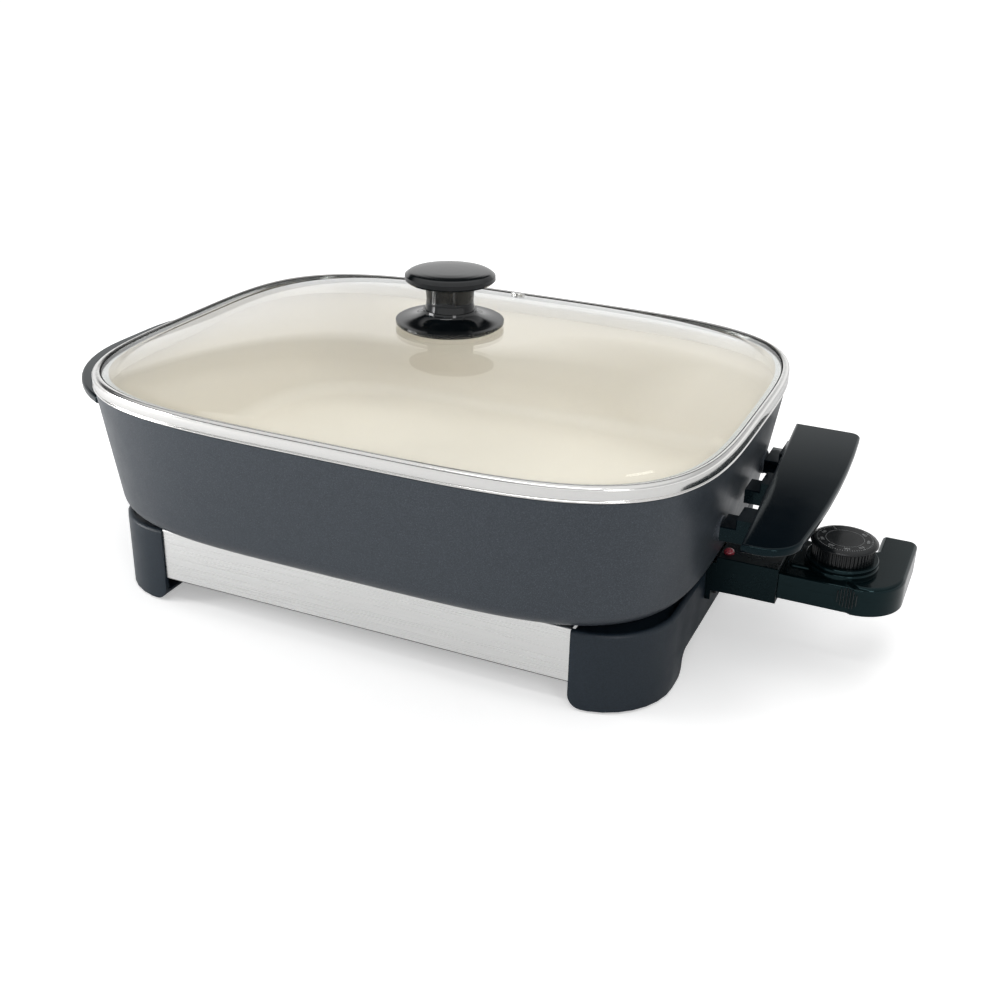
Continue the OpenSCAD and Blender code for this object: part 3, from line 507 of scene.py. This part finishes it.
def element_track():
    """The cast track that holds the element, open below."""
    half = [(6.5, 51.5), (6.5, 44.2), (5.9, UNDER_Z), (3.35, UNDER_Z), (3.35, 51.4)]
    return sweep(element_path(), [(-s, z) for s, z in half] + half[::-1])


def sensor_tunnel():
    """A box with a bore for the sensor rod, and the plain block that closes its far end."""
    bore_r, half_wide, below, above = 3.5, 6, 5, 3
    bore, box = [], []
    for t in circle(48):
        dy, dz = cos(t), sin(t)
        height = below if dz < 0 else above
        k = min(half_wide / max(abs(dy), 1e-6), height / max(abs(dz), 1e-6))
        bore.append((bore_r * dy, PIN_Z + bore_r * dz))
        box.append((dy * k, PIN_Z + dz * k))
    rings = ((116, bore), (116, box), (166, box), (166, bore))
    tunnel = loft([[(x, y, z) for y, z in ring] for x, ring in rings], closed=True)
    block = [(-5.3, UNDER_Z), (-6, 44.2), (-6, 51.5), (6, 51.5), (6, 44.2), (5.3, UNDER_Z)]
    return [tunnel, loft([[(x, y, z) for y, z in block] for x in (112, 116.2)])]


def frame_bosses():
    """The four bosses that take the screws of the end frames."""
    profile = [(SCREW_BORE, 45.05), (BOSS_FACE, 45.05), (BOSS_R, 45.6), (BOSS_R, 52),
               (SCREW_BORE, 52)]
    places = [(sx * FRAME_SCREW_X, sy * FRAME_SCREW_Y) for sx in (-1, 1) for sy in (-1, 1)]
    return [lathe(profile, lambda x, y, h, cx=cx, cy=cy: (cx + x, cy + y, h), closed=True)
            for cx, cy in places]


def handle_bosses(screw_z, side):
    """The two bosses on an end wall of the pan that take the screws of a handle."""
    proud, sunk = 1.6, 0.9
    face = PAN_A - wall_in(screw_z) + proud
    root = face - proud - WALL + sunk
    profile = [(SCREW_BORE, root + 0.6), (SCREW_BORE, face), (BOSS_FACE, face),
               (BOSS_R, face - 0.5), (BOSS_R, root), (SCREW_BORE, root + 0.4)]
    return [lathe(profile, lambda x, y, h, c=c: (side * h, c + x, screw_z + y), closed=True)
            for c in (-HANDLE_SCREW_Y, HANDLE_SCREW_Y)]


pan_parts = [pan_vessel(), element_track()] + sensor_tunnel() + frame_bosses()
pan_parts += handle_bosses(HANDLE_SCREW_RIGHT_Z, 1) + handle_bosses(HANDLE_SCREW_LEFT_Z, -1)
dress(mesh_object("pan_body", join(*pan_parts), [pan_out, pan_in]), "cooker", "pan", "pan")

# ---------------------------------------------------------------- lid
BAND_Z = RIM_Z + 0.2  # underside of the band
GLASS_Z = BAND_Z + 4  # underside of the glass at its edge
RISE, GLASS_T = 21.5, 3.9  # rise of the dome, and the glass's thickness
FLAT = 9.0  # width of the level edge that the band holds
CROWN = 0.2  # the share of the way out over which the dome's top stays level
KNOB_HOLE = 4.0  # radius

# The band's section, as how far in from the rim's outline and how high: bead, face, lip, the
# groove that holds the glass, and the skirt that reaches into the pan
BAND_SECTION = [
    (0.7, 0), (0.15, 0.25), (0, 0.65), (0.12, 1.05), (0.5, 1.25), (0.6, 1.4), (0.35, 1.6),
    (0.15, 2.0), (0.1, 6.2), (0.15, 6.9), (0.45, 7.6), (1.0, 8.2), (1.7, 8.6), (2.4, 8.7),
    (3.1, 8.65), (3.8, 8.45), (4.6, 8.05), (4.6, 8.0), (1.2, 8.0), (1.2, 3.9), (8.2, 3.9),
    (8.2, -4), (7.0, -4), (7.0, 0)]
DARK_LIP = (3.8, 4.6)  # how far in the points of the lip's dark inner edge lie


def dome(s):
    """Height of the dome where s runs from 0 in the middle to 1 at the level edge."""
    return RISE * (1 - max(0.0, (s - CROWN) / (1 - CROWN)) ** 2.2)


def glass_ring(s, lift):
    return oval((RIM_A - FLAT) * s, (RIM_B - FLAT) * s, 2 + (RIM_N - 2) * s ** 0.6,
                GLASS_Z + lift + dome(s))


def glass():
    """The pane with the knob's hole: its underside from the hole outwards, and its top back."""
    steps = [1 - 0.8 * i / 30 for i in range(31)]
    rings = [oval(KNOB_HOLE, KNOB_HOLE, 2, GLASS_Z + RISE)]
    rings += [glass_ring(s, 0) for s in reversed(steps)]
    rings += [rim_ring(1.5, GLASS_Z), rim_ring(1.5, GLASS_Z + GLASS_T)]
    rings += [glass_ring(s, GLASS_T) for s in steps]
    rings += [oval(KNOB_HOLE, KNOB_HOLE, 2, GLASS_Z + RISE + GLASS_T)]
    return loft(rings, closed=True)


def band():
    verts, faces, _ = loft([rim_ring(d, BAND_Z + z) for d, z in BAND_SECTION], closed=True)
    dark = {i for i, (d, z) in enumerate(BAND_SECTION) if d in DARK_LIP}
    return verts, faces, [int({v // RING for v in face} <= dark) for face in faces]


dress(mesh_object("lid_pane", glass(), [glass_m], sharp=60), "lid", "glass", "lid_glass")
dress(mesh_object("lid_trim", band(), [band_m, rubber_m], sharp=50), "lid", "band", "lid_band")


# ---------------------------------------------------------------- base, handles and guard
# The choices for refine: at is the middle of an edge in mm, n0 and n1 its faces' normals.
# A normal with a part over 0.9 along an axis is taken to point along it.
BASE_TOP, LEGS_TOP = 48, 44
PANEL_Y, PANEL_END = 119.6, 128  # outer face and end of a panel
HANDLE_TOPS = {"right": 100, "left": 117}
HANDLE_OUT_X = 186  # beyond this a handle's arms have left the pan's wall
GUARD_TOP, GUARD_Y = 58, 26.5
CHEEK_X = 178.7  # the guard's cheeks are rounded beyond this
CONTROL_WIDE = 24  # half the width of the control's nose
NEAR = 0.1


def outward(n, at):
    return n.x * at.x > -0.1 and n.y * at.y > -0.1


def base_lip(at, n0, n1):
    """The outer edges of an end frame's top."""
    on_top = at.z > BASE_TOP - NEAR and max(n0.z, n1.z) > 0.9
    return on_top and all(abs(n.z) > 0.9 or outward(n, at) for n in (n0, n1))


def legs(at, n0, n1):
    """The edges of an end frame's legs, without those of faces turned to the middle."""
    side = 1 if at.x > 0 else -1
    return at.z < LEGS_TOP and all(n.x * side > -0.9 for n in (n0, n1))


def panel_fold(at, n0, n1):
    """The long edges of a panel's outer face."""
    return abs(at.y) > PANEL_Y - NEAR and abs(at.x) < PANEL_END - 0.5


def panel_end(at, n0, n1):
    """The edges at the ends of a panel's outer face."""
    at_end = abs(at.y) > PANEL_Y - 0.6 and abs(at.x) > PANEL_END - NEAR
    return at_end and abs(n0.x) + abs(n1.x) > 0.9


def grip_passes(top):
    """For a handle with its top at a height: its upper edges, those of the step below them,
    and the lower edges outside the pan's wall."""
    def step(at, n0, n1):
        return top - 5 < at.z < top - 3.9 and max(abs(n0.z), abs(n1.z)) > 0.9

    return [(lambda at, n0, n1: at.z > top - 0.05, 1.5, 5), (step, 1.0, 3),
            (lambda at, n0, n1: at.z < top - 6 and abs(at.x) > HANDLE_OUT_X, 0.7, 2)]


def guard_edges(at, n0, n1):
    """The edges of the guard's top, and of the outer sides of its cheeks."""
    return at.z > GUARD_TOP - NEAR or abs(at.y) > GUARD_Y - NEAR and at.x > CHEEK_X


def lug(x, z, side):
    """A lug of the guard, over a range of x and z, that closes the slit beside its cheek."""
    inner, outer, edge = CONTROL_WIDE + 0.6, GUARD_Y + 0.1, 0.3
    outline = [(x[0] + edge, inner), (x[1], inner), (x[1], outer), (x[0] + edge, outer),
               (x[0], outer - edge), (x[0], inner + edge)]
    return loft([[(px, side * py, h) for px, py in outline] for h in z])


for side in ("left", "right"):
    refine("end_frame_" + side, "base_end_" + side, frame_m, "cooker", "frame",
           [(base_lip, 2.2, 6), (legs, 0.7, 2)])
for node, name in (("front_panel", "panel_front"), ("rear_panel", "panel_rear")):
    refine(node, name, panel_m, "cooker", "panel", [(panel_fold, 1.3, 5), (panel_end, 0.85, 4)])
for side, top in HANDLE_TOPS.items():
    refine("handle_" + side, "grip_" + side, handle_m, "cooker", "handle", grip_passes(top))
refine("probe_guard", "socket_guard", guard_m, "cooker", "guard", [(guard_edges, 0.8, 3)])

LUGS = (((171.8, 176), (36.8, 49.8)), ((176.4, 179), (49, 54.2)))
lugs = [lug(x, z, side) for side in (-1, 1) for x, z in LUGS]
dress(mesh_object("guard_lugs", join(*lugs), [guard_m]), "cooker", "guard")

# ---------------------------------------------------------------- control
NOSE_X, GRIP_X = 190, 251.6  # where the control begins, and where its front begins to round
GRIP_C, GRIP_R = (254, -1.2), CONTROL_WIDE
ARM_X, ARM_C, ARM_R = 258, (273, 42), 5  # inner side of the arm, and its outer corner
SHELL_T = 2
DECK_Z = 53.4  # foot of the deck and the collar, inside the shell's top
DIAL_X, DIAL_TOP = 242.5, 72.0
PIN_Y, GLAND_X = 14, 267.5
PIN_BORE, PROBE_BORE, GLAND_BORE, SHAFT_BORE = 2.7, 3.15, 4.65, 3.1  # radii


def rounded_top(radius, z, angles):
    """(inset, height) pairs of an edge that is rounded from a height upwards."""
    return [(radius * (1 - cos(radians(t))), z + radius * sin(radians(t))) for t in angles]


def control_plan(d):
    """The outline of the shell, seen from above and inset by d: nose, round grip and arm."""
    pts = [(NOSE_X + d, CONTROL_WIDE - d), (NOSE_X + d, d - CONTROL_WIDE),
           (GRIP_X, d - CONTROL_WIDE)]
    pts += arc(GRIP_C, GRIP_R - d, 270, 360, 28) + arc(ARM_C, ARM_R - d, 0, 90, 10)
    return pts + [(ARM_X + d, ARM_C[1] + ARM_R - d), (ARM_X + d, CONTROL_WIDE - d)]


def control_body():
    """The upper half of the shell: a hollow cover with a rounded top edge."""
    rings = [(SHELL_T, 53), (SHELL_T, PIN_Z), (0, PIN_Z), (0, 53.6)]
    rings += rounded_top(1.4, 53.6, range(15, 91, 15))
    return loft([[(x, y, z) for x, y in control_plan(d)] for d, z in rings])


def control_deck():
    """The narrow deck, and the raised top of the grip and the arm with its larger edge."""
    plan = arc((218.5, 10.5), 2.5, 90, 180) + arc((218.5, -10.5), 2.5, 180, 270)
    plan += [(236, -13), (244, -13)] + arc((245.6, -15.2), 2.2, 85, 10, 4)
    plan += [(248.1, -17.2), (249.0, -19.2), (250.8, -20.9), (253.5, -22.6), (256.5, -24.0)]
    plan += arc(GRIP_C, GRIP_R, 287, 360, 26) + arc(ARM_C, ARM_R, 0, 90, 10)
    plan += arc((ARM_X + 2.6, 44.4), 2.6, 90, 180, 6) + [(ARM_X, 26.2)]
    plan += arc((255.8, 26.2), 2.2, 0, -90, 4) + arc((251, 21), 3, 90, 180, 5)
    plan += [(248, 15.2)] + arc((245.8, 15.2), 2.2, 0, -90, 4) + [(236, 13)]
    # The deck's edge is narrower than that of the grip and the arm
    weight = [0.45 + 0.55 * min(max((x - 248) / 8, 0), 1) for x, y in plan]
    rings = [(0, DECK_Z)] + rounded_top(2.6, 53.9, range(0, 91, 10))
    return loft([[(x, y, z) for x, y in inset(plan, [w * d for w in weight])]
                 for d, z in rings])


def control_collar():
    """The round stand under the dial, with a groove in its side."""
    profile = [(SHAFT_BORE, DECK_Z), (20.1, DECK_Z), (20.1, 57.5), (19.95, 58.1), (19.6, 58.5),
               (19.1, 58.7), (18.9, 58.95), (19.1, 59.2), (19.6, 59.4), (19.85, 59.8),
               (19.85, 60.7), (19.65, 61.15), (19.2, 61.5), (SHAFT_BORE, 61.5)]
    return lathe(profile, lambda x, y, h: (DIAL_X + x, y, h), closed=True, count=120)


def rod(axis, low, high, c1, c2, r):
    """A cylinder along an axis, from low to high, with its centre on the other two axes."""
    put = {"x": lambda x, y, h: (h, c1 + x, c2 + y), "y": lambda x, y, h: (c1 + x, h, c2 + y),
           "z": lambda x, y, h: (c1 + x, c2 + y, h)}[axis]
    return lathe([(r, low), (r, high)], put)


def control_bores():
    rods = [rod("x", 188, 193, y, PIN_Z, PIN_BORE) for y in (-PIN_Y, PIN_Y)]
    rods += [rod("x", 188, 193, 0, PIN_Z, PROBE_BORE), rod("y", 44, 49, GLAND_X, PIN_Z, GLAND_BORE),
             rod("z", 46, 70, DIAL_X, 0, SHAFT_BORE)]
    return join(*rods)


def evaluated_mesh(o):
    """A new mesh of an object, as its modifiers or its text settings make it."""
    bpy.context.view_layer.update()
    return bpy.data.meshes.new_from_object(o.evaluated_get(bpy.context.evaluated_depsgraph_get()))


def combine(base, operations):
    """Applies boolean operations to a mesh object, and drops the objects they came from."""
    for kind, other in operations:
        m = base.modifiers.new(kind, "BOOLEAN")
        m.operation, m.object, m.solver = kind, other, "EXACT"
    me = evaluated_mesh(base)
    base.modifiers.clear()
    base.data = me
    for kind, other in operations:
        bpy.data.objects.remove(other)
    shade(base, FINE_SHARP, True)


def tray_edges(at, n0, n1):
    """The edges of the control's underside, without the one at its nose."""
    return at.z < 39.6 and min(n0.z, n1.z) < -0.9 and at.x > NOSE_X + 0.2


def grille():
    """Upright ribs in a round patch on the front of the grip."""
    middle_x, middle_z, radius, pitch = 251.0, 48.8, 6.2, 1.7
    bars = []
    for k in range(-3, 4):
        x = middle_x + pitch * k
        half = sqrt(radius ** 2 - (pitch * k) ** 2)
        front = CONTROL_WIDE + min(max(0, (x - GRIP_X) / 2), 1.2)
        section = [(x + 0.5 * cos(radians(t)), 0.15 - front - sin(radians(t)))
                   for t in range(0, 181, 20)]
        upper = [(1, half - 0.8), (0.8, half - 0.3), (0.35, half)]
        ends = [(w, -z) for w, z in upper[::-1]] + upper
        bars.append(loft([[(x + (sx - x) * w, sy, middle_z + z) for sx, sy in section]
                          for w, z in ends]))
    return join(*bars)


cover = mesh_object("control_cover", control_body(), [control_m])
combine(cover, [("UNION", mesh_object("deck", control_deck(), [control_m])),
                ("UNION", mesh_object("collar", control_collar(), [control_m])),
                ("DIFFERENCE", mesh_object("bores", control_bores(), [control_m]))])
dress(cover, "control", "control", "control_upper_shell")
refine("control_lower_shell", "control_tray", control_m, "control", "control",
       [(tray_edges, 1.1, 4)])
dress(mesh_object("control_grille", grille(), [grille_painted_light_m], sharp=50), "control", "control")

# ---------------------------------------------------------------- print on the dial
TICKS, PER_NUMBER = 58, 8


def tick_angle(tick):
    return radians(-235 + 290 * tick / TICKS)


def dial_print():
    """The ticks, longer ones at the numbers, and a ring of short dashes inside them."""
    parts = []

    def patch(points):
        low, high = ([(DIAL_X + x, y, z) for x, y in points]
                     for z in (DIAL_TOP - 0.05, DIAL_TOP + 0.03))
        parts.append(loft([low, high]))

    outer = 15.5
    for i in range(TICKS + 1):
        c, s = cos(tick_angle(i)), sin(tick_angle(i))
        inner, wide = (14.7, 0.13) if i % PER_NUMBER else (14.2, 0.22)
        corners = ((inner, -wide), (outer, -wide), (outer, wide), (inner, wide))
        patch([(c * r - s * w, s * r + c * w) for r, w in corners])
    for i in range(72):
        a, b = radians(5 * i + 0.9), radians(5 * i + 4.1)
        corners = ((10.3, a), (10.5, a), (10.5, b), (10.3, b))
        patch([(r * cos(t), r * sin(t)) for r, t in corners])
    return join(*parts)


def dial_numbers():
    """Numbers set round the dial, upright towards its rim, as one mesh."""
    radius = 12.5
    bm = bmesh.new()
    for i in range(8):
        number = bpy.data.curves.new("number", "FONT")
        number.body = str(100 + 50 * i) if i else "0"
        number.align_x, number.align_y = "CENTER", "CENTER"
        number.size, number.extrude = 2.4 * MM, 0.04 * MM
        o = bpy.data.objects.new("number", number)
        bpy.context.collection.objects.link(o)
        me = evaluated_mesh(o)
        turn = tick_angle(i * PER_NUMBER)
        place = Vector((DIAL_X + radius * cos(turn), radius * sin(turn), DIAL_TOP)) * MM
        me.transform(Matrix.Translation(place) @ Matrix.Rotation(turn - pi / 2, 4, "Z"))
        bm.from_mesh(me)
        bpy.data.objects.remove(o)
    return bm


dress(mesh_object("dial_scale", dial_print(), [print_m]), "dial", "dial")
dress(finish_mesh(dial_numbers(), "dial_numbers", [print_m]), "dial", "dial")

# ---------------------------------------------------------------- kept nodes
keep(knob_m, 0.0, "knob_cap", "knob_base", sharp=28)
keep(dial_m, 0.15, "dial", sharp=32)
keep(rubber_m, 0.5, "rubber_feet", "knob_gasket", "cord_gland")
keep(silicone_m, 0.2, "knob_washer")
keep(ceramic_m, 0.2, "terminal_insulators", "thermostat_base")
keep(screw_m, 0.15, "frame_screws", "panel_screws", "handle_screws", "knob_screw", "control_screws")
keep(black_screw_m, 0.15, "guard_screws")
keep(pin_m, 0.3, "terminal_pins", "dial_shaft")
keep(probe_m, 0.3, "sensor_probe")
keep(element_m, 0.0, "heating_element", sharp=60)
keep(brass_m, 0.1, "control_contacts", "bimetal_blade")
keep(lens_m, 0.0, "indicator_lens", sharp=50)
keep(lamp_m, 0.2, "indicator_lamp")
keep(pin_m, 0.15, "vent_grommet")

# ---------------------------------------------------------------- stage, in metres
floor_mesh = bpy.data.meshes.new("floor")
floor_mesh.from_pydata([(-6, -6, 0), (6, -6, 0), (6, 6, 0), (-6, 6, 0)], [], [(0, 1, 2, 3)])
floor = bpy.data.objects.new("floor", floor_mesh)
bpy.context.collection.objects.link(floor)
floor.location = (-0.05, -0.22, 0)
# White paper. Where it is seen itself it also glows, less near its origin than farther out. The
# origin lies in front of the pan, so this paints shade on the floor before the front panel, and
# paints light over the shadow farther out.
floor_m = Mat("floor_paper", (0.86, 0.86, 0.86), 0.9, Specular_IOR_Level=0.1)
glow = floor_m.node("Emission", Color=(1, 1, 1, 1))
reach = floor_m.node("VectorMath", operation="LENGTH")
floor_m.link(floor_m.coords(), reach.inputs[0])
floor_m.link(floor_m.value(reach.outputs["Value"], 0.36, 0.60, 0.15, 0.55), glow.inputs["Strength"])
both = floor_m.node("AddShader")
seen = floor_m.node("MixShader")
floor_m.link(floor_m.bsdf.outputs[0], both.inputs[0])
floor_m.link(glow.outputs[0], both.inputs[1])
floor_m.link(seen_rays(floor_m.nt), seen.inputs[0])
floor_m.link(floor_m.bsdf.outputs[0], seen.inputs[1])
floor_m.link(both.outputs[0], seen.inputs[2])
floor_m.link(seen.outputs[0], floor_m.out.inputs["Surface"])
floor_mesh.materials.append(floor_m.m)

# The world lights evenly. Where it is seen itself, straight or through the glass, it is white.
# A mirror sees a white horizon and a light ceiling, and between them a wall that is dark
# towards -X and grey towards +X.
world = bpy.data.worlds.new("studio")
bpy.context.scene.world = world
world.use_nodes = True
wt = world.node_tree
light = wt.nodes["Background"]
light.inputs["Color"].default_value = (1, 1, 1, 1)
light.inputs["Strength"].default_value = 0.56
white = wt.nodes.new("ShaderNodeBackground")
white.inputs["Color"].default_value = (1, 1, 1, 1)
room = wt.nodes.new("ShaderNodeBackground")
where = wt.nodes.new("ShaderNodeTexCoord")
split = wt.nodes.new("ShaderNodeSeparateXYZ")
tone = wt.nodes.new("ShaderNodeValToRGB")
stops = tone.color_ramp.elements
stops[0].color = (1, 1, 1, 1)
stops[1].color = (0.95, 0.95, 0.95, 1)
for height, grey in ((0.33, 1.0), (0.41, 0.02), (0.53, 0.02), (0.63, 0.55), (0.78, 0.85)):
    stops.new(height).color = (grey, grey, grey, 1)
first, second = wt.nodes.new("ShaderNodeMixShader"), wt.nodes.new("ShaderNodeMixShader")
rays = wt.nodes.new("ShaderNodeLightPath")
side_wall = wt.nodes.new("ShaderNodeMapRange")
for socket, number in (("From Min", -0.15), ("From Max", -0.05), ("To Min", 0.0), ("To Max", 0.55)):
    side_wall.inputs[socket].default_value = number
lighter = wt.nodes.new("ShaderNodeMath")
lighter.operation = "MAXIMUM"
wire = wt.links.new
wire(where.outputs["Generated"], split.inputs[0])
wire(split.outputs["Z"], tone.inputs["Fac"])
wire(split.outputs["X"], side_wall.inputs["Value"])
wire(tone.outputs["Color"], lighter.inputs[0])
wire(side_wall.outputs[0], lighter.inputs[1])
wire(lighter.outputs[0], room.inputs["Color"])
wire(rays.outputs["Is Glossy Ray"], first.inputs[0])
wire(light.outputs[0], first.inputs[1])
wire(room.outputs[0], first.inputs[2])
wire(seen_rays(wt), second.inputs[0])
wire(first.outputs[0], second.inputs[1])
wire(white.outputs[0], second.inputs[2])
wire(second.outputs[0], wt.nodes["World Output"].inputs["Surface"])


def softbox(name, at, aim, size, power, mirrored=True):
    """A rectangular lamp. One that isn't mirrored leaves no patch on glossy surfaces."""
    lamp = bpy.data.lights.new(name, "AREA")
    lamp.shape, lamp.energy = "RECTANGLE", power
    lamp.size, lamp.size_y = size
    o = bpy.data.objects.new(name, lamp)
    o.visible_glossy = mirrored
    bpy.context.collection.objects.link(o)
    o.location = at
    o.rotation_euler = (Vector(aim) - Vector(at)).to_track_quat("-Z", "Y").to_euler()


softbox("key", (0.45, 0.35, 1.8), (0, 0, 0.1), (1.2, 0.9), 4, mirrored=False)
softbox("fill", (1.1, -1.1, 0.9), (0.1, 0, 0.1), (0.35, 0.5), 3)
softbox("rim", (0.5, 1.0, 1.7), (0.1, 0, 0.1), (0.8, 0.3), 2.5, mirrored=False)
softbox("side", (-0.85, -0.5, 0.3), (-0.15, -0.1, 0.05), (0.4, 0.4), 5.2)
softbox("strip", (0.1, -0.72, 1.4), (0.15, -0.02, 0.08), (1.0, 0.14), 2.6)

bpy.context.view_layer.update()
